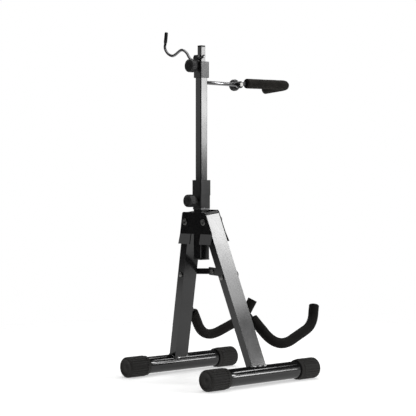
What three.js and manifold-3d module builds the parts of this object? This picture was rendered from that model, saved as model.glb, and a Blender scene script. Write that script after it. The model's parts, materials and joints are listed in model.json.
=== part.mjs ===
// Folding A-frame instrument stand: two T-footed legs, telescopic square mast,
// padded cradle arms, padded neck crook and a wire bow hook.
// Millimetres, +Z up. The instrument rests on the -Y side; the clamp knobs are on the +Y side.
import * as THREE from 'three';
import { mergeVertices } from 'three/addons/utils/BufferGeometryUtils.js';
import Module from 'manifold-3d';

const wasm = await Module();
wasm.setup();

// ---------- driving dimensions ----------

// clearance between touching pieces
const gap = 0.3;

// three nested square tubes, heights above the floor
const outerTube = { size: 25.4, wall: 1.6, corner: 2, bottom: 273, top: 440 };
const innerTube = { size: 19, wall: 1.5, corner: 1.6, bottom: 300, top: 700 };
const postTube = { size: 12.7, wall: 1.4, corner: 1.2, bottom: 520, top: 741 };
const postCapHeight = 3.5;

// collars at the tube tops: a block over a narrower skirt
const lowerCollar = { bottom: 384, step: 412, top: 446, skirt: 27.8, block: 29.6 };
const upperCollar = { bottom: 673, top: 708.6, block: 25 };

// hand knobs: start is the distance of the knob's back from the mast's axis
const lowerKnob = { z: 400, radius: 14, length: 19.5, start: 22.6, stud: 3.5, flutes: 12 };
const upperKnob = { z: 698, radius: 14.6, length: 17.5, start: 20, stud: 3.5, flutes: 12 };
const yokeKnob = { radius: 13.2, length: 13, start: 5.6, stud: 3, flutes: 10 };

// head: two steel plates with the leg tops between them, leaning with the legs
const pivot = { height: 356, spread: 31, y: -1.7, radius: 4, head: 7.4, headHeight: 3.2 };
const lean = Math.atan(0.1326);
const splay = Math.atan(0.3189 / Math.hypot(1, 0.1326));
const plateGap = 20.3;
const plateThick = 2.5;
const plateWaist = -27;
const plateLow = -49;
const backPlate = { topHalf: 39, waistHalf: 53.5, lipHalf: 55, top: 22, reach: 7 };
const frontPlate = { topHalf: 34.5, waistHalf: 49.5, lipHalf: 52.5, top: 21.5, reach: 6 };
const mastNotch = 16.5;

// legs and feet
const leg = { wide: 20, deep: 39, wall: 1.6, top: 12.2, capTop: 19.2 };
const foot = { height: 23.4, centreY: -54.6, reach: 156.4, radius: 19, wall: 1.6 };
const footCap = { radius: 23.4, bore: 19.4, length: 58, end: 6, sides: 32 };

// folding spreader: distance of its leg bolts and its middle below the fold pivots
const spreader = {
  legDrop: 128, centreX: 6, centreDrop: 119, layer: -20.6, thick: 2.4, narrow: 13, wide: 18, overrun: 12, bolt: 3,
};

// padded cradle arms in the plane of each leg: [reach to the front, drop below the fold pivot]
const arm = { rod: 4, foam: 11.6, bore: 4.8, pad: 4.2, foamStart: 0.2, bends: [50, 26] };
const armRoot = [20, 211.4];
const armCorner = [75.8, 311.8];
const armHeel = [197.8, 281.9];
const armTip = [222.5, 239];

// neck crook on its rod
const yoke = { z: 663.2, rod: 4.3, pivotY: -111, eye: 8, eyeHalf: 3 };
const crook = { foam: 11.2, bore: 4.8, rod: 4, start: -131, far: -264.5, side: 74, bend: 26, rise: 3.6, climb: 3 };

// bow hook: [x, z] of the bent part, then a straight tip
const hook = { wire: 3, sleeve: 3.9, bore: 3.2, y: 9.65 };
const hookCurve = [
  [-20.5, 719.8], [3, 712.9], [19, 713], [30.5, 719.8], [40, 731], [56, 738.6],
  [88, 727.8], [109, 737], [116.5, 749], [114.6, 759],
];
const hookTip = [111.4, 780.5];
const hookClip = { x0: -3.5, x1: 11.5, z0: 709.4, z1: 723, y1: 14.4 };

// the stand is centred front to back on its own extent
const backReach = foot.reach + footCap.end + foot.centreY;
const frontReach = crook.foam - crook.far;
const mastY = (frontReach - backReach) / 2;

// ---------- materials ----------

const paint = new THREE.MeshStandardMaterial({ color: 0x16171a, metalness: 0.4, roughness: 0.35 });
const plastic = new THREE.MeshStandardMaterial({ color: 0x202022, roughness: 0.6 });
const rubber = new THREE.MeshStandardMaterial({ color: 0x2b2b2c, roughness: 0.85 });
const foam = new THREE.MeshStandardMaterial({ color: 0x242322, roughness: 0.95 });
const bright = new THREE.MeshStandardMaterial({ color: 0xd4d6da, metalness: 1, roughness: 0.15 });
const zinc = new THREE.MeshStandardMaterial({ color: 0x8b8d90, metalness: 1, roughness: 0.4 });

// ---------- solids ----------

function toSolid(geometry) {
  const bare = geometry.clone();
  bare.deleteAttribute('normal');
  bare.deleteAttribute('uv');
  const merged = mergeVertices(bare, 1e-4);
  return new wasm.Manifold(new wasm.Mesh({
    numProp: 3,
    vertProperties: new Float32Array(merged.attributes.position.array),
    triVerts: new Uint32Array(merged.index.array),
  }));
}

function fromSolid(solid) {
  const mesh = solid.getMesh();
  const geometry = new THREE.BufferGeometry();
  geometry.setAttribute('position', new THREE.BufferAttribute(new Float32Array(mesh.vertProperties), 3));
  geometry.setIndex(new THREE.BufferAttribute(new Uint32Array(mesh.triVerts), 1));
  const faceted = geometry.toNonIndexed();
  faceted.computeVertexNormals();
  return faceted;
}

function union(...geometries) {
  return fromSolid(geometries.map(toSolid).reduce((sum, next) => sum.add(next)));
}

function cut(geometry, ...tools) {
  return fromSolid(tools.map(toSolid).reduce((sum, next) => sum.subtract(next), toSolid(geometry)));
}

function box(x0, x1, y0, y1, z0, z1) {
  const geometry = new THREE.BoxGeometry(x1 - x0, y1 - y0, z1 - z0);
  return geometry.translate((x0 + x1) / 2, (y0 + y1) / 2, (z0 + z1) / 2);
}

// polygon of [x, z] points, extruded along Y
function slab(points, y0, y1) {
  const shape = new THREE.Shape(points.map(([x, z]) => new THREE.Vector2(x, z)));
  const geometry = new THREE.ExtrudeGeometry(shape, { depth: y1 - y0, bevelEnabled: false });
  return geometry.rotateX(Math.PI / 2).translate(0, y1, 0);
}

// upright square bar with rounded edges
function squareBar(size, radius, z0, z1) {
  const inset = size / 2 - radius;
  const shape = new THREE.Shape();
  const corners = [[1, -1], [1, 1], [-1, 1], [-1, -1]];
  corners.forEach(([x, y], i) => {
    const start = (i - 1) * (Math.PI / 2);
    shape.absarc(x * inset, y * inset, radius, start, start + Math.PI / 2);
  });
  const options = { depth: z1 - z0, bevelEnabled: false, curveSegments: 3 };
  return new THREE.ExtrudeGeometry(shape, options).translate(0, 0, z0);
}

function squareTube({ size, wall, corner, bottom, top }) {
  return cut(squareBar(size, corner, bottom, top), squareBar(size - 2 * wall, corner / 2, bottom - 1, top + 1));
}

// solid of revolution about Z from [radius, z] points
function turned(points, segments = 32) {
  const profile = points.map(([r, z]) => new THREE.Vector2(r, z));
  return new THREE.LatheGeometry(profile, segments).rotateX(Math.PI / 2);
}

function pin(radius, z0, z1, segments = 24) {
  return turned([[0, z0], [radius, z0], [radius, z1], [0, z1]], segments);
}

function alongY(geometry) {
  return geometry.rotateX(-Math.PI / 2);
}

function alongX(geometry) {
  return geometry.rotateY(Math.PI / 2);
}

// straight lines joined by curves; each bend is the length of line that its curve replaces
function bentPath(points, bends) {
  const path = new THREE.CurvePath();
  const at = points.map((p) => new THREE.Vector3(...p));
  let from = at[0];
  bends.forEach((reach, i) => {
    const corner = at[i + 1];
    const start = corner.clone().lerp(at[i], reach / corner.distanceTo(at[i]));
    const end = corner.clone().lerp(at[i + 2], reach / corner.distanceTo(at[i + 2]));
    path.add(new THREE.LineCurve3(from, start));
    path.add(new THREE.QuadraticBezierCurve3(start, corner, end));
    from = end;
  });
  path.add(new THREE.LineCurve3(from, at.at(-1)));
  return path;
}

function sweep(path, { radius, bore = 0, steps, sides }) {
  const shape = new THREE.Shape();
  shape.absarc(0, 0, radius, 0, 2 * Math.PI);
  if (bore > 0) {
    const hole = new THREE.Path();
    hole.absarc(0, 0, bore, 0, 2 * Math.PI, true);
    shape.holes.push(hole);
  }
  const options = { steps, extrudePath: path, curveSegments: sides / 2, bevelEnabled: false };
  return new THREE.ExtrudeGeometry(shape, options);
}

// moves every point by a share of its distance along another axis from a fixed plane
function sheared(geometry, moved, along, share, fixed) {
  const index = { x: 0, y: 1, z: 2 };
  const shear = new THREE.Matrix4();
  shear.elements[index[along] * 4 + index[moved]] = share;
  shear.elements[12 + index[moved]] = -share * fixed;
  return geometry.applyMatrix4(shear);
}

// ---------- scene graph ----------

const stand = new THREE.Group();
stand.name = 'instrument_stand';

// upright pieces are measured from the mast's axis
const upright = new THREE.Group();
upright.position.set(0, mastY, 0);
stand.add(upright);

// X across, Y to the back, Z up within the leaning plane of the legs, origin between the fold pivots
const plane = new THREE.Group();
plane.position.set(0, pivot.y, pivot.height);
plane.rotation.x = -lean;
upright.add(plane);

const sides = { left: -1, right: 1 };

// origin on the fold pivot, Z up along the leg
function legGroup(side) {
  const group = new THREE.Group();
  group.position.x = side * pivot.spread;
  group.rotation.y = -side * splay;
  plane.add(group);
  return group;
}

function put(parent, name, geometry, material) {
  const mesh = new THREE.Mesh(geometry, material.clone());
  mesh.name = name;
  parent.add(mesh);
}

// brings a shape measured from the mast's axis into a nested group
function seenFrom(group, geometry) {
  stand.updateMatrixWorld(true);
  const matrix = group.matrixWorld.clone().invert().multiply(upright.matrixWorld);
  return geometry.applyMatrix4(matrix);
}

// ---------- head ----------

const bothEnds = [-1, 1];

// bent lower edge of a plate, on one side of the notch for the mast
function plateLip(side, facing, y0, { waistHalf, lipHalf, reach }) {
  const points = [
    [mastNotch, plateWaist + 0.5], [mastNotch, plateLow], [lipHalf, plateLow],
    [waistHalf, plateWaist], [waistHalf, plateWaist + 0.5],
  ].map(([x, z]) => [x * side, z]);
  const flat = slab(side > 0 ? points : points.reverse(), y0, y0 + plateThick);
  return sheared(flat, 'y', 'z', (-facing * reach) / (plateWaist - plateLow), plateWaist);
}

function headPlate(facing, size) {
  const { topHalf, waistHalf, top } = size;
  const y0 = facing > 0 ? plateGap : -plateGap - plateThick;
  const flat = slab([
    [-waistHalf, plateWaist], [waistHalf, plateWaist], [topHalf, top - 3], [topHalf - 3, top],
    [3 - topHalf, top], [-topHalf, top - 3],
  ], y0, y0 + plateThick);
  const drills = bothEnds.map((side) => (
    alongY(pin(pivot.radius + gap, -40, 40)).translate(side * pivot.spread, 0, 0)));
  const lips = bothEnds.map((side) => plateLip(side, facing, y0, size));
  return cut(union(flat, ...lips), ...drills);
}

// upright web that fills the wedge between a leaning plate and the mast
function mastWeb(facing, { top }) {
  const near = outerTube.size / 2 + gap;
  const far = 40;
  const web = box(-12.2, 12.2, facing > 0 ? near : -far, facing > 0 ? far : -near, 300, 400);
  const beyond = plateGap - gap;
  const trims = [
    box(-far, far, facing > 0 ? beyond : -90, facing > 0 ? 90 : -beyond, -120, 90),
    box(-far, far, -90, 90, top - 3, 120),
    box(-far, far, -90, 90, -120, plateWaist + 3),
  ];
  return cut(seenFrom(plane, web), ...trims);
}

put(plane, 'head_plate_back', headPlate(1, backPlate), paint);
put(plane, 'head_plate_front', headPlate(-1, frontPlate), paint);
put(plane, 'head_web_back', mastWeb(1, backPlate), paint);
put(plane, 'head_web_front', mastWeb(-1, frontPlate), paint);

const headFace = plateGap + plateThick + gap;

function pivotBolt() {
  const top = headFace + pivot.headHeight;
  return alongY(turned([
    [0, -headFace], [pivot.radius, -headFace], [pivot.radius, headFace], [pivot.head, headFace],
    [pivot.head, top - 1], [pivot.head - 1, top], [3.4, top], [3, headFace + 1.2], [0, headFace + 1.2],
  ]));
}

function pivotNut() {
  const base = headFace + gap;
  return alongY(turned([[0, -base - 5], [5.2, -base - 5], [6.6, -base - 4.2], [6.6, -base], [0, -base]], 6));
}

for (const [word, side] of Object.entries(sides)) {
  put(plane, `pivot_bolt_${word}`, pivotBolt().translate(side * pivot.spread, 0, 0), zinc);
  put(plane, `pivot_nut_${word}`, pivotNut().translate(side * pivot.spread, 0, 0), zinc);
}

// ---------- mast ----------

function sideHole(radius, y0, y1, z) {
  return alongY(pin(radius + gap, y0, y1)).translate(0, 0, z);
}

const lowerHole = sideHole(lowerKnob.stud, 0, 40, lowerKnob.z);
const upperHole = sideHole(upperKnob.stud, 0, 40, upperKnob.z);
const yokeHole = sideHole(yoke.rod, -40, 0, yoke.z);

function boreOf({ size, wall }) {
  return size - 2 * wall - 2 * gap;
}

put(upright, 'mast_outer_tube', cut(squareTube(outerTube), lowerHole), paint);
put(upright, 'mast_bottom_plug', union(
  squareBar(outerTube.size + 0.8, 2, outerTube.bottom - 4, outerTube.bottom - gap),
  squareBar(boreOf(outerTube), 1, outerTube.bottom - 1, outerTube.bottom + 12),
), plastic);
put(upright, 'lower_collar', cut(
  union(
    squareBar(lowerCollar.skirt, 1.5, lowerCollar.bottom, lowerCollar.step + 1),
    squareBar(lowerCollar.block, 2.2, lowerCollar.step, lowerCollar.top),
  ),
  squareBar(outerTube.size + 2 * gap, 2, lowerCollar.bottom - 1, outerTube.top + gap),
  squareBar(innerTube.size + 2 * gap, 1, outerTube.top - 1, lowerCollar.top + 1),
  lowerHole,
), plastic);

put(upright, 'mast_inner_tube', cut(squareTube(innerTube), upperHole, yokeHole), paint);
put(upright, 'mast_guide_plug', union(
  squareBar(boreOf(innerTube), 1, innerTube.bottom - 1, innerTube.bottom + 14),
  squareBar(boreOf(outerTube), 1, innerTube.bottom - 6, innerTube.bottom - gap),
), plastic);
put(upright, 'upper_collar', cut(
  squareBar(upperCollar.block, 2, upperCollar.bottom, upperCollar.top),
  squareBar(innerTube.size + 2 * gap, 1.6, upperCollar.bottom - 1, innerTube.top + gap),
  squareBar(postTube.size + 2 * gap, 1, innerTube.top - 1, upperCollar.top + 1),
  upperHole,
), plastic);

put(upright, 'post_tube', squareTube(postTube), paint);
put(upright, 'post_cap', union(
  squareBar(postTube.size + 0.2, 1.2, postTube.top + gap, postTube.top + postCapHeight),
  squareBar(boreOf(postTube), 0.8, postTube.top - 9, postTube.top + 1),
), plastic);

// ---------- hand knobs ----------

// fluted knob standing on Z = 0 with its dished face upwards and a blind hole for its stud
function knob({ radius, length, flutes, stud }) {
  const body = turned([
    [0, 0], [radius * 0.72, 0], [radius * 0.8, 1.2], [radius * 0.94, 3.4], [radius, 4.6],
    [radius, length - 1.6], [radius - 1.2, length], [radius - 3.2, length],
    [radius - 3.8, length - 1.2], [0, length - 1.2],
  ]);
  const grooves = [];
  for (let i = 0; i < flutes; i += 1) {
    const angle = (2 * Math.PI * i) / flutes;
    const groove = pin(2, 2.5, length + 1, 8);
    grooves.push(groove.translate((radius + 1.3) * Math.cos(angle), (radius + 1.3) * Math.sin(angle), 0));
  }
  return cut(body, ...grooves, pin(stud + gap, -1, 7.4));
}

function clampKnob(name, size, tubeSize) {
  put(upright, name, alongY(knob(size)).translate(0, size.start, size.z), plastic);
  const stud = pin(size.stud, tubeSize / 2 + gap, size.start + 7);
  put(upright, `${name}_stud`, alongY(stud).translate(0, 0, size.z), zinc);
}

clampKnob('lower_knob', lowerKnob, innerTube.size);
clampKnob('upper_knob', upperKnob, postTube.size);

// ---------- legs, feet and cradle arms ----------

const footDrop = (pivot.height - foot.height) / (Math.cos(splay) * Math.cos(lean));
const footX = pivot.spread + footDrop * Math.sin(splay);

function atFoot(side, geometry) {
  return alongY(geometry).translate(side * footX, foot.centreY, foot.height);
}

// rectangular tube drilled for its two bolts and coped over the round foot
function legTube(side, group) {
  const x = leg.wide / 2;
  const y = leg.deep / 2;
  const shell = cut(
    box(-x, x, -y, y, -footDrop - 30, leg.top),
    box(leg.wall - x, x - leg.wall, leg.wall - y, y - leg.wall, -footDrop - 40, leg.top + 1),
  );
  const pivotHole = alongY(pin(pivot.radius + gap, -40, 40));
  const linkHole = alongY(pin(spreader.bolt + gap, -40, 40)).translate(0, 0, -spreader.legDrop);
  const saddle = atFoot(side, pin(foot.radius + gap, -90, 90, 32));
  const under = box(side * footX - 60, side * footX + 60, -200, 200, -60, foot.height - 4);
  return cut(shell, pivotHole, linkHole, seenFrom(group, saddle), seenFrom(group, under));
}

function legCap() {
  const x = leg.wide / 2;
  const y = leg.deep / 2;
  const inset = leg.wall + gap;
  return union(
    box(-x, x, -y, y, leg.top + gap, leg.capTop - 1.5),
    box(1.5 - x, x - 1.5, 1.5 - y, y - 1.5, leg.capTop - 2, leg.capTop),
    box(inset - x, x - inset, inset - y, y - inset, leg.top - 6, leg.top + 1),
  );
}

function footTube() {
  const { radius, wall, reach } = foot;
  return turned([
    [radius - wall, -reach], [radius, -reach], [radius, reach], [radius - wall, reach], [radius - wall, -reach],
  ]);
}

// rubber cap with a flat of its many-sided skin on the floor
function roundCap(facing) {
  const { radius, bore, length, end, sides: count } = footCap;
  const tip = foot.reach + end;
  const profile = [
    [bore, tip - length], [radius - 1.4, tip - length], [radius, tip - length + 1.6], [radius, tip - 2.4],
    [radius - 2.2, tip], [radius - 5, tip], [radius - 6, tip - 2], [0, tip - 2],
    [0, tip - end + gap], [bore, tip - end + gap], [bore, tip - length],
  ];
  const flat = Math.cos(Math.PI / count);
  const cap = turned(profile.map(([r, z]) => [r / flat, z]), count).rotateZ(Math.PI / count);
  return facing > 0 ? cap : cap.rotateY(Math.PI);
}

// path of a cradle arm from a share of its first straight
function armPath(share) {
  const points = [armRoot, armCorner, armHeel, armTip].map(([reach, drop]) => [0, -reach, -drop]);
  const start = new THREE.Vector3(...points[0]).lerp(new THREE.Vector3(...points[1]), share);
  return bentPath([start.toArray(), ...points.slice(1)], arm.bends);
}

function linkBolt() {
  const face = leg.deep / 2 + gap;
  const tail = spreader.layer - 6.5;
  const radius = spreader.bolt;
  return alongY(turned([
    [0, tail], [radius, tail], [radius, face], [5.6, face], [5.6, face + 1.7], [4.4, face + 3], [0, face + 3],
  ])).translate(0, 0, -spreader.legDrop);
}

for (const [word, side] of Object.entries(sides)) {
  const group = legGroup(side);
  const face = -leg.deep / 2;
  put(group, `leg_tube_${word}`, legTube(side, group), paint);
  put(group, `leg_cap_${word}`, legCap(), paint);
  put(group, `link_bolt_${word}`, linkBolt(), zinc);

  const drop = -armRoot[1];
  put(group, `arm_pad_${word}`, box(-5.5, 5.5, face - arm.pad, face - gap, drop - 14, drop + 12), paint);
  const rod = sweep(armPath(0), { radius: arm.rod, steps: 26, sides: 12 });
  const behind = box(-30, 30, face - arm.pad - gap, 40, drop - 50, drop + 50);
  put(group, `arm_rod_${word}`, cut(rod, behind), paint);
  const padding = { radius: arm.foam, bore: arm.bore, steps: 26, sides: 16 };
  put(group, `arm_foam_${word}`, sweep(armPath(arm.foamStart), padding), foam);

  put(upright, `foot_tube_${word}`, atFoot(side, footTube()), paint);
  put(upright, `foot_cap_back_${word}`, atFoot(side, roundCap(1)), rubber);
  put(upright, `foot_cap_front_${word}`, atFoot(side, roundCap(-1)), rubber);
}

// ---------- folding spreader ----------

const boltX = pivot.spread + spreader.legDrop * Math.sin(splay);
const boltZ = -spreader.legDrop * Math.cos(splay);
const centreZ = -spreader.centreDrop;

function halfRound(x, half, from) {
  const points = [];
  for (let i = 0; i <= 10; i += 1) {
    const turn = from + (Math.PI * i) / 10;
    points.push([x + half * Math.cos(turn), half * Math.sin(turn)]);
  }
  return points;
}

// flat bar from a leg bolt to the middle of the spreader
function linkBar(fromX, width, y0, overrun) {
  const half = width / 2;
  const across = spreader.centreX - fromX;
  const length = Math.hypot(across, centreZ - boltZ);
  const squareEnd = [[length + overrun, -half], [length + overrun, half]];
  const farEnd = overrun > 0 ? squareEnd : halfRound(length, half, -Math.PI / 2);
  const bar = slab([...halfRound(0, half, Math.PI / 2), ...farEnd], y0 - spreader.thick, y0);
  const bored = cut(bar, alongY(pin(spreader.bolt + gap, -60, 60)));
  bored.rotateY(-Math.atan2(centreZ - boltZ, across));
  return bored.translate(fromX, 0, boltZ);
}

function rivetEnd(y0) {
  return alongY(pin(4.8, y0, y0 + 2.2)).translate(spreader.centreX, 0, centreZ);
}

const farLayer = spreader.layer - spreader.thick - gap;
put(plane, 'spreader_link_wide', linkBar(-boltX, spreader.wide, spreader.layer, spreader.overrun), paint);
put(plane, 'spreader_link_narrow', linkBar(boltX, spreader.narrow, farLayer, 0), paint);
put(plane, 'spreader_rivet_head', rivetEnd(spreader.layer + gap), zinc);
put(plane, 'spreader_rivet_tail', rivetEnd(farLayer - spreader.thick - gap - 2.2), zinc);

// ---------- neck crook ----------

function acrossYoke(geometry) {
  return alongX(geometry).translate(0, yoke.pivotY, yoke.z);
}

const boltHole = acrossYoke(pin(yokeKnob.stud + gap, -30, 30));
const innerFace = -innerTube.size / 2;
const flatStart = yoke.pivotY + yoke.eye + 1.5;

function besideEye(x0, x1) {
  return box(x0, x1, yoke.pivotY - 12, flatStart, yoke.z - 12, yoke.z + 12);
}

put(upright, 'yoke_rod', cut(
  union(
    alongY(pin(yoke.rod, yoke.pivotY + 4, innerFace + 2.4)).translate(0, 0, yoke.z),
    acrossYoke(pin(yoke.eye, -yoke.eyeHalf, yoke.eyeHalf)),
  ),
  boltHole,
  besideEye(-12, -yoke.eyeHalf),
  besideEye(yoke.eyeHalf, 12),
), bright);
put(upright, 'yoke_flange', cut(
  alongY(pin(7, innerFace - gap - 2, innerFace - gap)).translate(0, 0, yoke.z),
  yokeHole,
), bright);

const eyeX = -yoke.eyeHalf - gap;
const stemX = eyeX - 2.5;
const neckStart = yoke.pivotY + 4;
const neckEnd = crook.start + gap;
const neck = sheared(
  box(stemX - 2.5, eyeX, neckEnd, neckStart, yoke.z - 4, yoke.z + 4),
  'z', 'y', crook.rise / (neckEnd - neckStart), neckStart,
);
put(upright, 'crook_eye', cut(
  union(acrossYoke(pin(yoke.eye, stemX - 2.5, eyeX)), neck),
  boltHole,
), paint);

// path of the crook's rod and its padding, starting a little way along
function crookPath(inset) {
  return bentPath([
    [stemX, crook.start - inset, yoke.z + crook.rise],
    [stemX, crook.far, yoke.z + crook.rise + crook.climb],
    [crook.side - inset, crook.far, yoke.z + crook.rise - 2],
  ], [crook.bend]);
}

put(upright, 'crook_rod', sweep(crookPath(1), { radius: crook.rod, steps: 24, sides: 12 }), paint);
put(upright, 'crook_foam', sweep(crookPath(0), {
  radius: crook.foam, bore: crook.bore, steps: 24, sides: 16,
}), foam);

put(upright, 'yoke_bolt', acrossYoke(turned([
  [0, stemX - 6], [5, stemX - 6], [5.6, stemX - 5.2], [5.6, stemX - 2.8], [yokeKnob.stud, stemX - 2.8],
  [yokeKnob.stud, yokeKnob.start + 7], [0, yokeKnob.start + 7],
])), zinc);
put(upright, 'yoke_knob', alongX(knob(yokeKnob)).translate(yokeKnob.start, yoke.pivotY, yoke.z), plastic);

// ---------- bow hook ----------

const curve = new THREE.CatmullRomCurve3(hookCurve.map(([x, z]) => new THREE.Vector3(x, hook.y, z)));
const tipStart = new THREE.Vector3(hookCurve.at(-1)[0], hook.y, hookCurve.at(-1)[1]);
const tipEnd = new THREE.Vector3(hookTip[0], hook.y, hookTip[1]);
const hookPath = new THREE.CurvePath();
hookPath.add(curve);
hookPath.add(new THREE.LineCurve3(tipStart, tipEnd));
put(upright, 'bow_hook_wire', sweep(hookPath, { radius: hook.wire, steps: 64, sides: 10 }), bright);

// soft sleeve closed over the wire's tip
const sleeveTop = tipStart.distanceTo(tipEnd) + 1;
const sleeve = turned([
  [hook.bore, 0], [hook.sleeve - 0.3, 0], [hook.sleeve, 0.6], [hook.sleeve, sleeveTop],
  [hook.sleeve - 1.2, sleeveTop + 1.6], [0, sleeveTop + 2], [0, sleeveTop], [hook.bore, sleeveTop],
  [hook.bore, 0],
]);
sleeve.rotateY(Math.atan2(tipEnd.x - tipStart.x, tipEnd.z - tipStart.z));
put(upright, 'bow_hook_sleeve', sleeve.translate(tipStart.x, hook.y, tipStart.z), rubber);

const clipBody = slab([
  [hookClip.x0, hookClip.z0], [hookClip.x1 - 4, hookClip.z0], [hookClip.x1, hookClip.z0 + 5],
  [hookClip.x1, hookClip.z1 - 5], [hookClip.x1 - 3, hookClip.z1], [hookClip.x0, hookClip.z1],
], postTube.size / 2 + gap, hookClip.y1);
const wireRoom = sweep(curve, { radius: hook.wire + gap, steps: 40, sides: 12 });
put(upright, 'bow_hook_clip', cut(clipBody, wireRoom), plastic);

export default stand;
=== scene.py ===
import json
import math

import bmesh
import bpy
from mathutils import Matrix, Vector, noise


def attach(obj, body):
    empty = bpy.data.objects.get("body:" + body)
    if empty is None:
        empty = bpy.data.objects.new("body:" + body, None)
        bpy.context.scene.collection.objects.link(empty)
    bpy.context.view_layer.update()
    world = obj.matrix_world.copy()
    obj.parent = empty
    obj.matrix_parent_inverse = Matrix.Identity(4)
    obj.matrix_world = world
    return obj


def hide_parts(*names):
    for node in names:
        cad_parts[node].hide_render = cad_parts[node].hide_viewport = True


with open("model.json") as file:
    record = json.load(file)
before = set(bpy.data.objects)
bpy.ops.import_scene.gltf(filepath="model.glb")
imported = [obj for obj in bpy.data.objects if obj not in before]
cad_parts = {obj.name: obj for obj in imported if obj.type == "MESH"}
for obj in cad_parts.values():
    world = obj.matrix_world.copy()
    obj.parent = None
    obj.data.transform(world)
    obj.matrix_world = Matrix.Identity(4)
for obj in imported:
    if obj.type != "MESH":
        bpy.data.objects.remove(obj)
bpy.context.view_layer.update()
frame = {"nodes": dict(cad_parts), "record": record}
record = frame["record"]
bodyOf = {node: body for body, members in record["behaviour"]["bodies"].items() for node in members}
slotOf = {part["node"]: part["material_slot"] for part in record["subparts"]}
mm = 0.001
sides = {"left": -1, "right": 1}
print("frame loaded,", len(frame["nodes"]), "parts")

# camera, floor and light

mastY = 0.0839  # the mast's axis, which the upright pieces are measured from

view = {
    "place": (-2.198, mastY + 1.895, 0.427),
    "heading": 41.055,  # degrees from +X towards -Y
    "dip": 0.852,
    "lens": 112.9,
    "sensor": 36,
    "farthest": 60,
}


def makeCamera():
    data = bpy.data.cameras.new("camera")
    data.lens = view["lens"]
    data.sensor_width = view["sensor"]
    data.clip_end = view["farthest"]
    camera = bpy.data.objects.new("camera", data)
    heading, dip = math.radians(view["heading"]), math.radians(view["dip"])
    forward = Vector((math.cos(heading) * math.cos(dip), -math.sin(heading) * math.cos(dip), -math.sin(dip)))
    right = Vector((-math.sin(heading), -math.cos(heading), 0))
    up = right.cross(forward)
    turn = Matrix((right, up, -forward)).transposed().to_4x4()
    camera.matrix_world = Matrix.Translation(view["place"]) @ turn
    bpy.context.scene.collection.objects.link(camera)
    bpy.context.scene.camera = camera


# place and target in metres, size across and down, brightness of the panel itself
studio = {
    "keyLow": {"place": (-3.0, -2.52, 0.95), "target": (0, 0.08, 0.7), "size": (0.6, 0.62), "glow": 19},
    "keyMid": {"place": (-3.03, -2.55, 1.86), "target": (0, 0.08, 1.2), "size": (0.6, 0.36), "glow": 10},
    "keyHigh": {"place": (-3.03, -2.55, 2.45), "target": (0, 0.08, 1.6), "size": (0.6, 0.8), "glow": 25},
    "fillRight": {"place": (-3.4, -2.9, 0.9), "target": (0, 0.08, 0.5), "size": (3.2, 2.6), "glow": 0.6},
    "footLine": {"place": (-0.7, -1.9, 2.2), "target": (-0.1, 0, 0.0), "size": (0.5, 0.22), "glow": 13},
    "rim": {"place": (1.1, -1.0, 2.0), "target": (0, 0, 0.1), "size": (1.2, 0.4), "glow": 5},
    "overhead": {"place": (0, 0, 3.4), "target": (0, 0, 0), "size": (3.2, 3.2), "glow": 2.2},
    "fillLeft": {"place": (3.0, 2.7, 1.0), "target": (0, 0.08, 0.6), "size": (1.6, 1.0), "glow": 0.9},
    "front": {"place": (-2.4, 2.8, 2.4), "target": (0, 0.08, 0.4), "size": (1.6, 1.6), "glow": 0.9},
}
# the floor fades out into the pale surround between the two distances from the middle
surround = {
    "seen": 1.0, "around": 0.05, "floor": (0.8, 0.8, 0.796), "floorRough": 0.7, "floorGlow": 0.5,
    "fadeFrom": 0.8, "fadeTo": 1.35,
}


def makeLights():
    for name, panel in studio.items():
        data = bpy.data.lights.new(name, "AREA")
        data.shape = "RECTANGLE"
        data.size, data.size_y = panel["size"]
        data.energy = panel["glow"] * math.pi * data.size * data.size_y
        lamp = bpy.data.objects.new(name, data)
        lamp.location = panel["place"]
        aim = Vector(panel["target"]) - Vector(panel["place"])
        lamp.rotation_euler = aim.to_track_quat("-Z", "Y").to_euler()
        lamp.visible_camera = False
        bpy.context.scene.collection.objects.link(lamp)


def makeSurround():
    world = bpy.data.worlds.new("surround")
    world.use_nodes = True
    nodes, links = world.node_tree.nodes, world.node_tree.links
    nodes.clear()
    output = nodes.new("ShaderNodeOutputWorld")
    path = nodes.new("ShaderNodeLightPath")
    blend = nodes.new("ShaderNodeMixShader")
    dim, pale = nodes.new("ShaderNodeBackground"), nodes.new("ShaderNodeBackground")
    dim.inputs["Strength"].default_value = surround["around"]
    pale.inputs["Strength"].default_value = surround["seen"]
    for shader in (dim, pale):
        shader.inputs["Color"].default_value = (1, 1, 1, 1)
    links.new(path.outputs["Is Camera Ray"], blend.inputs[0])
    links.new(dim.outputs[0], blend.inputs[1])
    links.new(pale.outputs[0], blend.inputs[2])
    links.new(blend.outputs[0], output.inputs["Surface"])
    bpy.context.scene.world = world
    bpy.context.scene.view_settings.view_transform = "Standard"


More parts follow.
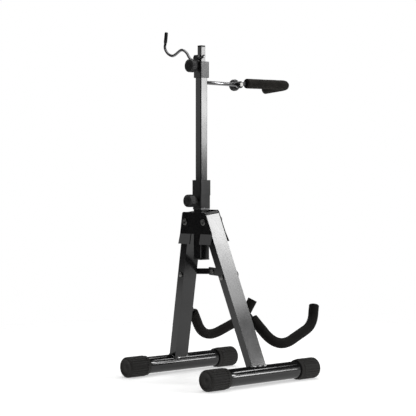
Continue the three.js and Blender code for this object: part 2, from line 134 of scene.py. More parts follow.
def makeFloor():
    bm = bmesh.new()
    bmesh.ops.create_circle(bm, segments=64, radius=surround["fadeTo"], cap_ends=True)
    mesh = bpy.data.meshes.new("floor")
    bm.to_mesh(mesh)
    bm.free()
    floor = bpy.data.objects.new("floor", mesh)
    material = bpy.data.materials.new("paleFloor")
    material.use_nodes = True
    shader = material.node_tree.nodes["Principled BSDF"]
    shader.inputs["Base Color"].default_value = (*surround["floor"], 1)
    shader.inputs["Roughness"].default_value = surround["floorRough"]
    shader.inputs["Emission Color"].default_value = (1, 1, 1, 1)
    shader.inputs["Emission Strength"].default_value = surround["floorGlow"]
    tree = material.node_tree
    measure = tree.nodes.new("ShaderNodeVectorMath")
    measure.operation = "LENGTH"
    tree.links.new(tree.nodes.new("ShaderNodeTexCoord").outputs["Object"], measure.inputs[0])
    fade = tree.nodes.new("ShaderNodeMapRange")
    fade.interpolation_type = "SMOOTHSTEP"
    for label, value in (("From Min", "fadeFrom"), ("From Max", "fadeTo")):
        fade.inputs[label].default_value = surround[value]
    fade.inputs["To Min"].default_value = 1
    fade.inputs["To Max"].default_value = 0
    tree.links.new(measure.outputs["Value"], fade.inputs["Value"])
    tree.links.new(fade.outputs["Result"], shader.inputs["Alpha"])
    mesh.materials.append(material)
    bpy.context.scene.collection.objects.link(floor)


makeCamera()
makeLights()
makeSurround()
makeFloor()
print("camera, floor and lights set")

# shared effects


def newGroup(name, inputs, outputs):
    group = bpy.data.node_groups.new(name, "ShaderNodeTree")
    for label, kind, value in inputs:
        socket = group.interface.new_socket(name=label, in_out="INPUT", socket_type=kind)
        if value is not None:
            socket.default_value = value
    for label in outputs:
        group.interface.new_socket(name=label, in_out="OUTPUT", socket_type="NodeSocketFloat")
    return group, group.nodes.new("NodeGroupInput"), group.nodes.new("NodeGroupOutput")


def addNoise(tree, vector, scale, detail=3.0, roughness=0.55):
    node = tree.nodes.new("ShaderNodeTexNoise")
    node.inputs["Scale"].default_value = scale
    node.inputs["Detail"].default_value = detail
    node.inputs["Roughness"].default_value = roughness
    tree.links.new(vector, node.inputs["Vector"])
    return node.outputs["Fac"]


def addRange(tree, value, low, high, toLow=0.0, toHigh=1.0):
    node = tree.nodes.new("ShaderNodeMapRange")
    node.inputs["From Min"].default_value = low
    node.inputs["From Max"].default_value = high
    node.inputs["To Min"].default_value = toLow
    node.inputs["To Max"].default_value = toHigh
    tree.links.new(value, node.inputs["Value"])
    return node.outputs["Result"]


def addMath(tree, operation, first, second):
    node = tree.nodes.new("ShaderNodeMath")
    node.operation = operation
    for socket, value in zip(node.inputs, (first, second)):
        if isinstance(value, (int, float)):
            socket.default_value = value
        else:
            tree.links.new(value, socket)
    return node.outputs[0]


# noise scales are in waves per metre
coatingPattern = {
    "cloud": 14, "peel": 620, "grain": 2400, "scuff": 320, "scuffStretch": (1, 1, 0.12), "scuffTurn": (0.5, 0.3, 0.2),
}
dustPattern = {"patch": 90, "leastUpward": 0.55}
foamPattern = {"cells": 780, "grain": 260, "bruises": 34, "pitDepth": 0.6}


def makeCoatingGroup():
    # slow cloudiness, fine grain height and rare scuffs of a sprayed or moulded skin
    group, start, end = newGroup(
        "coatingSkin",
        [
            ("Vector", "NodeSocketVector", None),
            ("Grain", "NodeSocketFloat", 1.0),
            ("Scuffs", "NodeSocketFloat", 1.0),
        ],
        ["Cloud", "Height", "Scuff"],
    )
    vector = start.outputs["Vector"]
    cloud = addNoise(group, vector, coatingPattern["cloud"])
    group.links.new(addRange(group, cloud, 0.3, 0.7), end.inputs["Cloud"])
    peel = addNoise(group, vector, coatingPattern["peel"], 2)
    grain = addNoise(group, vector, coatingPattern["grain"], 1)
    height = addMath(group, "ADD", peel, addMath(group, "MULTIPLY", grain, start.outputs["Grain"]))
    group.links.new(height, end.inputs["Height"])
    squeeze = group.nodes.new("ShaderNodeMapping")
    squeeze.inputs["Scale"].default_value = coatingPattern["scuffStretch"]
    squeeze.inputs["Rotation"].default_value = coatingPattern["scuffTurn"]
    group.links.new(vector, squeeze.inputs["Vector"])
    streaks = addNoise(group, squeeze.outputs["Vector"], coatingPattern["scuff"], 4, 0.7)
    lines = addRange(group, streaks, 0.66, 0.74)
    group.links.new(addMath(group, "MULTIPLY", lines, start.outputs["Scuffs"]), end.inputs["Scuff"])
    return group


def makeDustGroup():
    # faint settled dust on faces that look up
    group, start, end = newGroup(
        "settledDust", [("Vector", "NodeSocketVector", None), ("Amount", "NodeSocketFloat", 0.3)], ["Mask"]
    )
    geometry = group.nodes.new("ShaderNodeNewGeometry")
    split = group.nodes.new("ShaderNodeSeparateXYZ")
    group.links.new(geometry.outputs["Normal"], split.inputs[0])
    upward = addRange(group, split.outputs["Z"], dustPattern["leastUpward"], 1.0)
    patches = addRange(group, addNoise(group, start.outputs["Vector"], dustPattern["patch"], 5, 0.65), 0.35, 0.75)
    mask = addMath(group, "MULTIPLY", upward, patches)
    group.links.new(addMath(group, "MULTIPLY", mask, start.outputs["Amount"]), end.inputs["Mask"])
    return group


def makeFoamGroup():
    # closed cells of cut foam, with slow bruises
    group, start, end = newGroup("foamCells", [("Vector", "NodeSocketVector", None)], ["Height", "Shade"])
    cells = group.nodes.new("ShaderNodeTexVoronoi")
    cells.inputs["Scale"].default_value = foamPattern["cells"]
    group.links.new(start.outputs["Vector"], cells.inputs["Vector"])
    pits = addRange(group, cells.outputs["Distance"], 0.1, 0.6)
    grain = addNoise(group, start.outputs["Vector"], foamPattern["grain"], 4, 0.7)
    height = addMath(group, "ADD", addMath(group, "MULTIPLY", pits, foamPattern["pitDepth"]), grain)
    group.links.new(height, end.inputs["Height"])
    bruises = addNoise(group, start.outputs["Vector"], foamPattern["bruises"], 3)
    halves = [addMath(group, "MULTIPLY", part, 0.5) for part in (grain, bruises)]
    shade = addMath(group, "ADD", *halves)
    group.links.new(addRange(group, shade, 0.35, 0.65), end.inputs["Shade"])
    return group


coatingGroup = makeCoatingGroup()
dustGroup = makeDustGroup()
foamGroup = makeFoamGroup()

# finishes


def startMaterial(name):
    material = bpy.data.materials.new(name)
    material.use_nodes = True
    tree = material.node_tree
    coordinates = tree.nodes.new("ShaderNodeTexCoord")
    return material, tree, tree.nodes["Principled BSDF"], coordinates.outputs["Object"]


def placeGroup(tree, group, vector, **values):
    node = tree.nodes.new("ShaderNodeGroup")
    node.node_tree = group
    tree.links.new(vector, node.inputs["Vector"])
    for label, value in values.items():
        node.inputs[label].default_value = value
    return node.outputs


def mixColour(tree, mask, first, second):
    node = tree.nodes.new("ShaderNodeMix")
    node.data_type = "RGBA"
    tree.links.new(mask, node.inputs["Factor"])
    for socket, colour in ((node.inputs[6], first), (node.inputs[7], second)):
        if isinstance(colour, tuple):
            socket.default_value = (*colour, 1)
        else:
            tree.links.new(colour, socket)
    return node.outputs[2]


def addBump(tree, height, shader, strength, distance):
    bump = tree.nodes.new("ShaderNodeBump")
    bump.inputs["Strength"].default_value = strength
    bump.inputs["Distance"].default_value = distance
    tree.links.new(height, bump.inputs["Height"])
    tree.links.new(bump.outputs["Normal"], shader.inputs["Normal"])


coated = {
    "black_paint": {
        "dark": (0.003, 0.003, 0.0033), "light": (0.006, 0.006, 0.0064), "worn": (0.03, 0.03, 0.031),
        "dust": (0.12, 0.118, 0.115), "dustAmount": 0.05, "smooth": 0.12, "rough": 0.18, "grain": 0.2,
        "scuffs": 0.35, "bump": 0.035, "specular": 0.44,
    },
    "black_plastic": {
        "dark": (0.006, 0.006, 0.0062), "light": (0.011, 0.011, 0.0115), "worn": (0.04, 0.04, 0.041),
        "dust": (0.15, 0.147, 0.143), "dustAmount": 0.1, "smooth": 0.34, "rough": 0.5, "grain": 1.2,
        "scuffs": 0.4, "bump": 0.25, "specular": 0.4,
    },
    "cap_rubber": {
        "dark": (0.009, 0.0083, 0.0077), "light": (0.02, 0.0186, 0.0172), "worn": (0.04, 0.038, 0.036),
        "dust": (0.15, 0.145, 0.14), "dustAmount": 0.1, "smooth": 0.5, "rough": 0.68, "grain": 2.0,
        "scuffs": 0.5, "bump": 0.4, "specular": 0.24,
    },
    "sleeve_rubber": {
        "dark": (0.006, 0.006, 0.0065), "light": (0.011, 0.011, 0.0115), "worn": (0.03, 0.03, 0.03),
        "dust": (0.18, 0.175, 0.17), "dustAmount": 0.15, "smooth": 0.36, "rough": 0.5, "grain": 1.0,
        "scuffs": 0.3, "bump": 0.2, "specular": 0.5,
    },
}
coated["tubePaint"] = {
    **coated["black_paint"], "dustAmount": 0.04, "smooth": 0.1, "rough": 0.14, "scuffs": 0.1, "bump": 0.006,
}
coated["collarSatin"] = {**coated["black_plastic"], "smooth": 0.22, "rough": 0.34, "bump": 0.15, "specular": 0.5}
# how much rougher a scuff or settled dust makes the skin, and how deep its relief is in metres
wear = {"scuff": 0.3, "dust": 0.4, "relief": 0.0002}


def makeCoated(name, look):
    material, tree, shader, vector = startMaterial(name)
    skin = placeGroup(tree, coatingGroup, vector, Grain=look["grain"], Scuffs=look["scuffs"])
    dust = placeGroup(tree, dustGroup, vector, Amount=look["dustAmount"])
    clean = mixColour(tree, skin["Cloud"], look["dark"], look["light"])
    scuffed = mixColour(tree, skin["Scuff"], clean, look["worn"])
    tree.links.new(mixColour(tree, dust["Mask"], scuffed, look["dust"]), shader.inputs["Base Color"])
    sheen = addRange(tree, skin["Cloud"], 0, 1, look["smooth"], look["rough"])
    dulled = addMath(tree, "ADD", sheen, addMath(tree, "MULTIPLY", skin["Scuff"], wear["scuff"]))
    dusty = addMath(tree, "ADD", dulled, addMath(tree, "MULTIPLY", dust["Mask"], wear["dust"]))
    tree.links.new(dusty, shader.inputs["Roughness"])
    shader.inputs["Specular IOR Level"].default_value = look["specular"]
    addBump(tree, skin["Height"], shader, look["bump"], wear["relief"])
    return material


foams = {
    "foam": {"dark": (0.0045, 0.0041, 0.0038), "light": (0.012, 0.011, 0.01)},
    # a lighter copy of the same foam: painted light, standing in for the stronger light that falls on the crook than
    # on the shaded arms
    "foamFaded": {"dark": (0.012, 0.0108, 0.0096), "light": (0.032, 0.029, 0.0258)},
}
foamSkin = {
    "dust": (0.12, 0.115, 0.11), "dustAmount": 0.04, "smooth": 0.82, "rough": 0.96, "bump": 0.75, "relief": 0.0007,
    "sheen": 0.03, "sheenRough": 0.5, "specular": 0.1,
}


def makeFoam(name, look):
    material, tree, shader, vector = startMaterial(name)
    cells = placeGroup(tree, foamGroup, vector)
    dust = placeGroup(tree, dustGroup, vector, Amount=foamSkin["dustAmount"])
    plain = mixColour(tree, cells["Shade"], look["dark"], look["light"])
    tree.links.new(mixColour(tree, dust["Mask"], plain, foamSkin["dust"]), shader.inputs["Base Color"])
    roughness = addRange(tree, cells["Shade"], 0, 1, foamSkin["smooth"], foamSkin["rough"])
    tree.links.new(roughness, shader.inputs["Roughness"])
    shader.inputs["Sheen Weight"].default_value = foamSkin["sheen"]
    shader.inputs["Sheen Roughness"].default_value = foamSkin["sheenRough"]
    shader.inputs["Specular IOR Level"].default_value = foamSkin["specular"]
    addBump(tree, cells["Height"], shader, foamSkin["bump"], foamSkin["relief"])
    return material


metals = {
    "bright_steel": {
        "dark": (0.12, 0.12, 0.122), "light": (0.26, 0.26, 0.264), "smooth": 0.12, "rough": 0.18, "bump": 0.008,
    },
    "zinc_steel": {
        "dark": (0.1, 0.1, 0.098), "light": (0.22, 0.217, 0.21), "smooth": 0.26, "rough": 0.42, "bump": 0.2,
    },
}
metalSkin = {"grain": 0.6, "scuffs": 0.6, "scuffWear": 0.2}


def makeMetal(name, look):
    material, tree, shader, vector = startMaterial(name)
    skin = placeGroup(tree, coatingGroup, vector, Grain=metalSkin["grain"], Scuffs=metalSkin["scuffs"])
    clean = mixColour(tree, skin["Cloud"], look["light"], look["dark"])
    tree.links.new(mixColour(tree, skin["Scuff"], clean, look["dark"]), shader.inputs["Base Color"])
    sheen = addRange(tree, skin["Cloud"], 0, 1, look["smooth"], look["rough"])
    dulled = addMath(tree, "ADD", sheen, addMath(tree, "MULTIPLY", skin["Scuff"], metalSkin["scuffWear"]))
    tree.links.new(dulled, shader.inputs["Roughness"])
    shader.inputs["Metallic"].default_value = 1
    addBump(tree, skin["Height"], shader, look["bump"], wear["relief"])
    return material


weldSkin = {
    "paint": (0.012, 0.012, 0.013), "bare": (0.6, 0.6, 0.6), "patches": 150, "smooth": 0.2, "rough": 0.4,
    "bump": 0.5, "relief": 0.0004,
}


def makeWeldFinish():
    # painted bead with the bare metal showing on its crests
    material, tree, shader, vector = startMaterial("weldBead")
    skin = placeGroup(tree, coatingGroup, vector, Grain=1.0, Scuffs=1.0)
    bare = addRange(tree, addNoise(tree, vector, weldSkin["patches"], 3), 0.5, 0.56)
    tree.links.new(mixColour(tree, bare, weldSkin["paint"], weldSkin["bare"]), shader.inputs["Base Color"])
    tree.links.new(bare, shader.inputs["Metallic"])
    roughness = addRange(tree, skin["Cloud"], 0, 1, weldSkin["smooth"], weldSkin["rough"])
    tree.links.new(roughness, shader.inputs["Roughness"])
    addBump(tree, skin["Height"], shader, weldSkin["bump"], weldSkin["relief"])
    return material


finishes = {name: makeCoated(name, look) for name, look in coated.items()}
finishes.update({name: makeMetal(name, look) for name, look in metals.items()})
finishes.update({name: makeFoam(name, look) for name, look in foams.items()})
finishes["weld"] = makeWeldFinish()

# nodes whose coat differs from the rest of their slot
lookOf = {
    "crook_eye": "black_plastic", "crook_rod": "black_plastic", "yoke_flange": "black_plastic",
    "upper_collar": "collarSatin",
}
for node, shown in frame["nodes"].items():
    shown.data.materials.clear()
    shown.data.materials.append(finishes[lookOf.get(node, slotOf[node])])
print("finishes made:", len(finishes))

# shaping tools


def pieceName(node):
    first, *rest = node.split("_")
    return first + "".join(word.capitalize() for word in rest)


def addPiece(bm, name, slot, body, finish=None, flatShare=0.06, sharp=50):
    # directions that hold much of the skin stay flat, and all the rest is shaded smooth
    bm.normal_update()
    areas = {}
    for face in bm.faces:
        facing = tuple(round(value, 2) for value in face.normal)
        areas[facing] = areas.get(facing, 0) + face.calc_area()
    enough = flatShare * sum(areas.values())
    rounded = [areas[tuple(round(value, 2) for value in face.normal)] < enough for face in bm.faces]
    mesh = bpy.data.meshes.new(name)
    bm.to_mesh(mesh)
    bm.free()
    mesh.set_sharp_from_angle(angle=math.radians(sharp))
    mesh.polygons.foreach_set("use_smooth", rounded)
    mesh.materials.append(finishes[finish or slot])
    piece = bpy.data.objects.new(name, mesh)
    bpy.context.scene.collection.objects.link(piece)
    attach(piece, body)
    return piece


def standFor(node, bm, **options):
    piece = addPiece(bm, pieceName(node), slotOf[node], bodyOf[node], **options)
    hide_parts(node)
    return piece


def mergedCopy(node):
    bm = bmesh.new()
    bm.from_mesh(frame["nodes"][node].data)
    bmesh.ops.remove_doubles(bm, verts=bm.verts, dist=0.004 * mm)
    return bm


edging = {"segments": 2, "flatUpTo": 1, "sharpFrom": 32}  # angles in degrees


def roundEdges(bm, width, sharpFrom):
    edges = [edge for edge in bm.edges if edge.calc_face_angle(0) > sharpFrom]
    bmesh.ops.bevel(
        bm, geom=edges, offset=width, offset_type="OFFSET", affect="EDGES", segments=edging["segments"],
        profile=0.5, material=-1, clamp_overlap=True,
    )


def softEdged(node, width):
    # the part with its machined edges rounded off
    bm = mergedCopy(node)
    bmesh.ops.dissolve_limit(bm, angle_limit=math.radians(edging["flatUpTo"]), verts=bm.verts, edges=bm.edges)
    roundEdges(bm, width, math.radians(edging["sharpFrom"]))
    return bm


def spunProfile(profile, steps, closed=False):
    # profile of (radius, height) in millimetres, turned about Z
    bm = bmesh.new()
    verts = [bm.verts.new((radius * mm, 0, height * mm)) for radius, height in profile]
    edges = [bm.edges.new(pair) for pair in zip(verts, verts[1:])]
    if closed:
        edges.append(bm.edges.new((verts[-1], verts[0])))
    bmesh.ops.spin(
        bm, geom=verts + edges, cent=(0, 0, 0), axis=(0, 0, 1), dvec=(0, 0, 0),
        angle=2 * math.pi, steps=steps, use_merge=True, use_duplicate=False,
    )
    bmesh.ops.remove_doubles(bm, verts=bm.verts, dist=0.001 * mm)
    bmesh.ops.recalc_face_normals(bm, faces=bm.faces)
    return bm


def cutFlutes(bm, low, high, innerRadius, steps, count, depth, soft=True):
    # pulls the skin in along evenly spaced grooves
    share = steps // count
    for vert in bm.verts:
        across = math.hypot(vert.co.x, vert.co.y)
        if low * mm < vert.co.z < high * mm and across > innerRadius * mm:
            meridian = math.floor(math.atan2(vert.co.y, vert.co.x) / (2 * math.pi) * steps + 0.5) % share
            if soft:
                dip = 0.5 - 0.5 * math.cos(2 * math.pi * meridian / share)
            else:
                dip = 1.0 if meridian * 2 >= share else 0.0
            shrink = 1 - depth * mm * dip / across
            vert.co.x *= shrink
            vert.co.y *= shrink


def pointed(direction, place):
    # from a shape built along Z to one along the direction
    return Matrix.Translation(place) @ Vector(direction).to_track_quat("Z", "Y").to_matrix().to_4x4()


def evenLine(points, spacing):
    lengths = [0.0]
    for a, b in zip(points, points[1:]):
        lengths.append(lengths[-1] + (b - a).length)
    count = max(2, math.ceil(lengths[-1] / spacing))
    line, k = [], 0
    for i in range(count + 1):
        want = lengths[-1] * i / count
        while k < len(points) - 2 and lengths[k + 1] < want:
            k += 1
        step = lengths[k + 1] - lengths[k]
        line.append(points[k].lerp(points[k + 1], (want - lengths[k]) / step if step else 0))
    return line


bendSteps = 24


def bentLine(points, bends, spacing):
    # straights joined by curves; each bend is the length of straight that its curve replaces
    corners = [Vector(point) for point in points]
    line = [corners[0]]
    for i, reach in enumerate(bends):
        before, corner, after = corners[i:i + 3]
        start = corner.lerp(before, reach / (before - corner).length)
        end = corner.lerp(after, reach / (after - corner).length)
        for k in range(bendSteps + 1):
            t = k / bendSteps
            line.append(start * (1 - t) ** 2 + corner * 2 * t * (1 - t) + end * t ** 2)
    line.append(corners[-1])
    return evenLine(line, spacing)


def tangents(line):
    ahead = line[1:] + [line[-1] * 2 - line[-2]]
    behind = [line[0] * 2 - line[1]] + line[:-1]
    return [(a - b).normalized() for a, b in zip(ahead, behind)]


def sweptTube(line, radius, segments, swell=None, endRings=()):
    # a ring pulled along the line; swell scales each ring, endRings are (scale, distance past the end)
    bm = bmesh.new()
    ways = tangents(line)
    start = pointed(ways[0], line[0])
    bmesh.ops.create_circle(bm, segments=segments, radius=radius, cap_ends=False, matrix=start)
    ring, verts = bm.edges[:], bm.verts[:]
    rings = [(verts[:], line[0])]
    size = 1.0

    def pull(place, fresh, way, previous, newSize):
        nonlocal ring, verts, size
        out = bmesh.ops.extrude_edge_only(bm, edges=ring)["geom"]
        ring = [item for item in out if isinstance(item, bmesh.types.BMEdge)]
        verts = [item for item in out if isinstance(item, bmesh.types.BMVert)]
        turn = way.rotation_difference(fresh).to_matrix()
        bmesh.ops.rotate(bm, verts=verts, cent=previous, matrix=turn)
        bmesh.ops.translate(bm, verts=verts, vec=place - previous)
        factor = newSize / size
        bmesh.ops.scale(bm, verts=verts, vec=(factor,) * 3, space=Matrix.Translation(-place))
        size = newSize

    startRing = ring
    for i in range(1, len(line)):
        pull(line[i], ways[i], ways[i - 1], line[i - 1], swell(i / (len(line) - 1)) if swell else 1.0)
        rings.append((verts[:], line[i]))
    for end in (1, 0):
        place, way = (line[-1], ways[-1]) if end else (line[0], -ways[0])
        if not end:
            ring, size = startRing, 1.0
        for scale, past in endRings:
            spot = (line[-1] if end else line[0]) + way * past
            pull(spot, way, way, place, scale)
            place = spot
        bmesh.ops.contextual_create(bm, geom=ring)
    bmesh.ops.recalc_face_normals(bm, faces=bm.faces)
    return bm, rings


# square tubes, plates and collars

edgeWidths = {
    "mast_outer_tube": 0.5, "mast_inner_tube": 0.45, "post_tube": 0.4, "lower_collar": 0.9, "upper_collar": 0.9,
    "post_cap": 0.6, "mast_bottom_plug": 0.6, "bow_hook_clip": 0.9, "head_plate_back": 0.7, "head_plate_front": 0.7,
    "head_web_back": 0.5, "head_web_front": 0.5, "spreader_link_wide": 0.5, "spreader_link_narrow": 0.5,
    "spreader_rivet_head": 0.6, "spreader_rivet_tail": 0.6, "yoke_rod": 0.7, "yoke_flange": 0.5, "crook_eye": 0.9,
    "yoke_bolt": 0.5,
}
for word in sides:
    edgeWidths[f"leg_tube_{word}"] = 1.6
    edgeWidths[f"leg_cap_{word}"] = 1.0
    edgeWidths[f"arm_pad_{word}"] = 0.9
    for part in ("pivot_bolt", "pivot_nut", "link_bolt"):
        edgeWidths[f"{part}_{word}"] = 0.4
for node, width in edgeWidths.items():
    standFor(node, softEdged(node, width * mm), finish=lookOf.get(node))
print("tubes, plates and collars rounded:", len(edgeWidths))

# bright steel sleeve that shows under the lower collar
sleeveRing = {"outer": 27.0, "inner": 25.8, "bottom": 380.6, "top": 383.6, "edge": 0.25, "sharpFrom": 0.5}  # radians


def squareRing(size):
    bm = bmesh.new()
    half = size["outer"] / 2 * mm
    bmesh.ops.create_grid(bm, x_segments=1, y_segments=1, size=half)
    face = bm.faces[:]
    wall = (size["outer"] - size["inner"]) / 2 * mm
    bmesh.ops.inset_region(bm, faces=face, thickness=wall, use_even_offset=True, use_boundary=True)
    bmesh.ops.delete(bm, geom=face, context="FACES_ONLY")
    out = bmesh.ops.extrude_face_region(bm, geom=bm.faces[:])["geom"]
    lifted = [item for item in out if isinstance(item, bmesh.types.BMVert)]
    bmesh.ops.translate(bm, verts=lifted, vec=(0, 0, (size["top"] - size["bottom"]) * mm))
    bmesh.ops.translate(bm, verts=bm.verts, vec=(0, mastY, size["bottom"] * mm))
    bmesh.ops.recalc_face_normals(bm, faces=bm.faces)
    roundEdges(bm, size["edge"] * mm, size["sharpFrom"])
    return bm


addPiece(squareRing(sleeveRing), "collarSleeve", "bright_steel", "head")

# hand knobs and their studs

knobShape = {"ribs": 24, "steps": 144, "depth": 0.9}
knobs = {
    "lower_knob": {"way": (0, 1, 0), "place": (0, mastY + 0.0226, 0.4), "radius": 14, "length": 19.5},
    "upper_knob": {"way": (0, 1, 0), "place": (0, mastY + 0.02, 0.698), "radius": 14.6, "length": 17.5},
    "yoke_knob": {"way": (1, 0, 0), "place": (0.0056, mastY - 0.111, 0.6632), "radius": 13.2, "length": 13},
}


def makeKnob(node, size):
    r, h = size["radius"], size["length"]
    profile = [
        (0, 0), (r * 0.5, 0), (r * 0.72, 0.1), (r * 0.8, 0.9), (r * 0.88, 2.2), (r * 0.95, 3.2),
        (r - 0.15, 4.2), (r, 5), (r, 6), (r, h - 3), (r, h - 2), (r - 0.3, h - 1), (r - 1, h - 0.25),
        (r - 1.9, h), (r - 3, h), (r - 3.5, h - 0.3), (r - 3.9, h - 1), (r - 4.6, h - 1.2),
        (r * 0.45, h - 1.2), (r * 0.4, h - 1.1), (r * 0.34, h - 0.7), (r * 0.26, h - 0.5), (0, h - 0.4),
    ]
    bm = spunProfile(profile, knobShape["steps"])
    cutFlutes(bm, 2.9, h - 0.6, r * 0.9, knobShape["steps"], knobShape["ribs"], knobShape["depth"])
    bmesh.ops.transform(bm, matrix=pointed(size["way"], size["place"]), verts=bm.verts)
    standFor(node, bm, sharp=60)


thread = {"radius": 3.5, "pitch": 1.0, "steps": 32}
studs = {
    "lower_knob_stud": {"place": (0, mastY + 0.0098, 0.4), "length": 19.5},
    "upper_knob_stud": {"place": (0, mastY + 0.00665, 0.698), "length": 20},
}


def makeStud(node, size):
    radius, pitch = thread["radius"], thread["pitch"]
    profile = [(0, 0), (radius - 0.8, 0)]
    for i in range(int(size["length"] / pitch) - 1):
        z = 0.4 + i * pitch
        profile += [(radius - 0.6, z), (radius, z + 0.4), (radius, z + 0.55), (radius - 0.6, z + 0.9)]
    profile += [(radius - 0.8, size["length"]), (0, size["length"])]
    bm = spunProfile(profile, thread["steps"])
    bmesh.ops.transform(bm, matrix=pointed((0, 1, 0), size["place"]), verts=bm.verts)
    standFor(node, bm, sharp=40)


for node, size in knobs.items():
    makeKnob(node, size)
for node, size in studs.items():
    makeStud(node, size)
print("knobs turned")

# feet

# the legs' slopes back and outwards, as rise over run
slope = {"back": 0.1326, "out": 0.3189}
foot = {
    "drop": 356, "height": 23.4, "centreY": -54.6, "reach": 156.4, "radius": 19, "wall": 1.6, "steps": 96,
    "lean": math.atan(slope["back"]), "splay": math.atan(slope["out"] / math.hypot(1, slope["back"])),
    "spread": 31, "pivotY": -1.7,
}
footDrop = (foot["drop"] - foot["height"]) / (math.cos(foot["splay"]) * math.cos(foot["lean"]))
footX = foot["spread"] + footDrop * math.sin(foot["splay"])
cap = {"radius": 23.35, "end": 6, "length": 58, "bore": 19.15, "ribs": 26, "steps": 208, "depth": 1.2}


def footCentre(side):
    return (side * footX * mm, mastY + foot["centreY"] * mm, foot["height"] * mm)


def makeFootTube(word, side):
    r, wall, reach = foot["radius"], foot["wall"], foot["reach"]
    outside = [
        (r - 0.5, -reach), (r, 0.5 - reach), (r, -90), (r, -30), (r, 30), (r, 90), (r, reach - 0.5), (r - 0.5, reach),
    ]
    bm = spunProfile(outside + [(r - wall, reach), (r - wall, -reach)], foot["steps"], closed=True)
    bmesh.ops.transform(bm, matrix=pointed((0, 1, 0), footCentre(side)), verts=bm.verts)
    standFor(f"foot_tube_{word}", bm, finish="tubePaint")


def makeFootCap(word, side, end, facing):
    r, tip = cap["radius"], foot["reach"] + cap["end"]
    mouth = tip - cap["length"]
    profile = [
        (cap["bore"], mouth), (r - 2.3, mouth), (r - 1.5, mouth + 0.4), (r - 1.1, mouth + 1.2),
        (r - 1.1, mouth + 7.2), (r - 0.9, mouth + 7.6), (r - 0.3, mouth + 8.4), (r, mouth + 9), (r, mouth + 9.3),
        (r, mouth + 20), (r, mouth + 32), (r, tip - 7), (r, tip - 6.8), (r - 0.2, tip - 4.2), (r - 0.9, tip - 2.2),
        (r - 2.2, tip - 0.7), (r - 3.8, tip - 0.1), (r - 5.4, tip), (r - 6.2, tip - 0.3), (r - 6.8, tip - 1.2),
        (r - 7.4, tip - 1.5), (5.2, tip - 1.6), (4.6, tip - 1.4), (4.2, tip - 0.8), (3.4, tip - 0.6), (0, tip - 0.6),
    ]
    inner = [(cap["bore"], mouth), (cap["bore"], tip - cap["end"] + 0.4), (0, tip - cap["end"] + 0.4)]
    bm = spunProfile(inner[::-1] + profile[1:], cap["steps"])
    cutFlutes(bm, mouth + 9.1, tip - 2, r - 3, cap["steps"], cap["ribs"], cap["depth"], soft=False)
    bmesh.ops.transform(bm, matrix=pointed((0, facing, 0), footCentre(side)), verts=bm.verts)
    standFor(f"foot_cap_{end}_{word}", bm, flatShare=1, sharp=38)


def legMatrix(side):
    # from millimetres round the fold pivot, Z up along the leg, to metres
    upright = Matrix.Translation((0, mastY + foot["pivotY"] * mm, foot["drop"] * mm))
    leaning = Matrix.Rotation(-foot["lean"], 4, "X")
    spread = Matrix.Translation((side * foot["spread"] * mm, 0, 0))
    return upright @ leaning @ spread @ Matrix.Rotation(-side * foot["splay"], 4, "Y") @ Matrix.Scale(mm, 4)


weld = {
    "halfWide": 10.5, "halfDeep": 20.0, "corner": 2.2, "radius": 1.9, "segments": 12, "spacing": 1.1, "lift": 0.5,
    "ripple": 0.16, "ripples": 46, "uneven": 0.12, "unevenScale": 40,
}


def beadLine(side):
    # the leg's outline, dropped along the leg on to the round foot
    corners = []
    for x, y, start in ((1, 1, 0), (-1, 1, 90), (-1, -1, 180), (1, -1, 270)):
        for turn in range(0, 91, 18):
            angle = math.radians(start + turn)
            corners.append((
                x * (weld["halfWide"] - weld["corner"]) + weld["corner"] * math.cos(angle),
                y * (weld["halfDeep"] - weld["corner"]) + weld["corner"] * math.sin(angle),
            ))
    place = legMatrix(side)
    axis = Vector((side * footX * mm, foot["height"] * mm))
    points = []
    for x, y in corners + corners[:2]:
        low, high = -footDrop, 40 - footDrop
        for _ in range(30):
            middle = (low + high) / 2
            spot = place @ Vector((x, y, middle))
            if (Vector((spot.x, spot.z)) - axis).length < (foot["radius"] + weld["lift"]) * mm:
                low = middle
            else:
                high = middle
        points.append(place @ Vector((x, y, high)))
    return evenLine(points, weld["spacing"] * mm)


def makeWeld(word, side):
    line = beadLine(side)

    def swell(share):
        ripple = weld["ripple"] * math.sin(2 * math.pi * weld["ripples"] * share)
        return 1 + ripple + weld["uneven"] * noise.noise(Vector((share * weld["unevenScale"], side, 0)))

    bm, _ = sweptTube(line, weld["radius"] * mm, weld["segments"], swell)
    addPiece(bm, f"weldBead{word.capitalize()}", "black_paint", f"leg_{word}", finish="weld", flatShare=1, sharp=80)


for word, side in sides.items():
    makeFootTube(word, side)
    makeWeld(word, side)
    makeFootCap(word, side, "back", 1)
    makeFootCap(word, side, "front", -1)
print("feet, caps and welds made")

# padded cradle arms and neck crook

armShape = {
    # reach to the front, drop below the pivot
    "points": [(20, 211.4), (75.8, 311.8), (197.8, 281.9), (222.5, 239)],
    "start": 0.2, "bends": [50, 26], "radius": 11.5, "segments": 44, "spacing": 2.2, "margin": 0.8,
}
crookShape = {
    "stem": -5.8, "start": -131, "far": -264.5, "side": 74, "bend": 26, "z": 663.2 + 3.6, "climb": 3, "drop": -2,
    "radius": 11.1, "segments": 44, "spacing": 2.2, "margin": 0.8,
}
# rounded rim, flat cut end and the hole that the rod sits in
cutEnd = [(0.985, 0.35), (0.95, 0.7), (0.9, 0.8), (0.5, 0.75), (0.44, 0.5), (0.43, -2.0)]
creases = {"depth": 0.55, "pitch": 8.0, "lump": 0.22, "lumpScale": 55, "lumpMost": 0.1, "fullBend": 0.016}


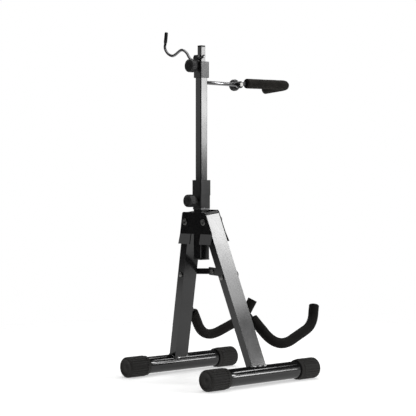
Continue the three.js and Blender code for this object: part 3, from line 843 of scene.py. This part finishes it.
def settleFoam(rings, seed):
    # slow lumps all over and soft creases on the inside of each bend
    places = [place for _, place in rings]
    ways = tangents(places)
    along = 0.0
    for i, (verts, place) in enumerate(rings):
        bend = Vector((0, 0, 0))
        if 0 < i < len(rings) - 1:
            gap = (places[i + 1] - places[i - 1]).length
            bend = (ways[i + 1] - ways[i - 1]) / gap
            along += gap / 2
        strength = min(1.0, bend.length * mm / creases["fullBend"])
        wave = 0.5 + 0.5 * math.cos(2 * math.pi * along / (creases["pitch"] * mm))
        for vert in verts:
            out = (vert.co - place).normalized()
            inner = max(0.0, out.dot(bend.normalized())) if strength > 0.02 else 0.0
            lump = noise.noise(vert.co * creases["lumpScale"] + Vector((seed, 0, 0))) * creases["lump"]
            fold = creases["depth"] * strength * inner ** 2 * wave
            vert.co += out * (min(lump, creases["lumpMost"]) - fold) * mm


def makeFoamSleeve(node, line, shape, seed, finish=None):
    endRings = [(scale, past * mm) for scale, past in cutEnd]
    bm, rings = sweptTube(line, shape["radius"] * mm, shape["segments"], endRings=endRings)
    settleFoam(rings, seed)
    sleeve = standFor(node, bm, finish=finish, flatShare=1, sharp=55)


for word, side in sides.items():
    place = legMatrix(side)
    points = [Vector((0, -reach, -drop)) for reach, drop in armShape["points"]]
    points[0] = points[0].lerp(points[1], armShape["start"])
    line = [place @ spot for spot in bentLine(points, armShape["bends"], armShape["spacing"])]
    margin = armShape["margin"] * mm
    line[0] += (line[1] - line[0]).normalized() * margin
    line[-1] += (line[-2] - line[-1]).normalized() * margin
    makeFoamSleeve(f"arm_foam_{word}", line, armShape, seed=7 * side)

crookLine = bentLine(
    [
        (crookShape["stem"], crookShape["start"] - crookShape["margin"], crookShape["z"]),
        (crookShape["stem"], crookShape["far"], crookShape["z"] + crookShape["climb"]),
        (crookShape["side"] - crookShape["margin"], crookShape["far"], crookShape["z"] + crookShape["drop"]),
    ],
    [crookShape["bend"]],
    crookShape["spacing"],
)
crookLine = [Vector((0, mastY, 0)) + spot * mm for spot in crookLine]
# the crook's foam takes the lighter copy, painted light that makes it brighter than the arms' foam
makeFoamSleeve("crook_foam", crookLine, crookShape, seed=3, finish="foamFaded")
print("foam sleeves made")

# bow hook wire and its sleeve

hookShape = {
    "y": 9.65, "radius": 3.0, "segments": 24, "spacing": 1.6, "curveSteps": 14, "sleeveEdge": 0.4,
    "curve": [
        (-20.5, 719.8), (3, 712.9), (19, 713), (30.5, 719.8), (40, 731), (56, 738.6), (88, 727.8), (109, 737),
        (116.5, 749), (114.6, 759),
    ],
    "tip": (111.4, 780.5),
}


def easyCurve(points, steps):
    # a smooth line through the points, with each stretch paced by the root of its length
    points = [points[0] * 2 - points[1]] + points + [points[-1] * 2 - points[-2]]
    line = []
    for a, b, c, d in zip(points, points[1:], points[2:], points[3:]):
        pace = [math.sqrt((q - p).length) for p, q in ((a, b), (b, c), (c, d))]
        leave = ((b - a) / pace[0] - (c - a) / (pace[0] + pace[1]) + (c - b) / pace[1]) * pace[1]
        arrive = ((c - b) / pace[1] - (d - b) / (pace[1] + pace[2]) + (d - c) / pace[2]) * pace[1]
        for k in range(steps):
            t = k / steps
            line.append(
                b * (2 * t ** 3 - 3 * t ** 2 + 1) + c * (3 * t ** 2 - 2 * t ** 3)
                + leave * (t ** 3 - 2 * t ** 2 + t) + arrive * (t ** 3 - t ** 2)
            )
    return line + [points[-2]]


def hookPoint(x, z):
    return Vector((x * mm, mastY + hookShape["y"] * mm, z * mm))


hookLine = easyCurve([hookPoint(*point) for point in hookShape["curve"]], hookShape["curveSteps"])
hookLine.append(hookPoint(*hookShape["tip"]))
hookWire, _ = sweptTube(
    evenLine(hookLine, hookShape["spacing"] * mm), hookShape["radius"] * mm, hookShape["segments"],
    endRings=[(0.93, 0.0), (0.8, 0.25 * mm), (0.6, 0.3 * mm)],
)
standFor("bow_hook_wire", hookWire, flatShare=1, sharp=60)
standFor("bow_hook_sleeve", softEdged("bow_hook_sleeve", hookShape["sleeveEdge"] * mm), flatShare=0.2)
print("bow hook made")
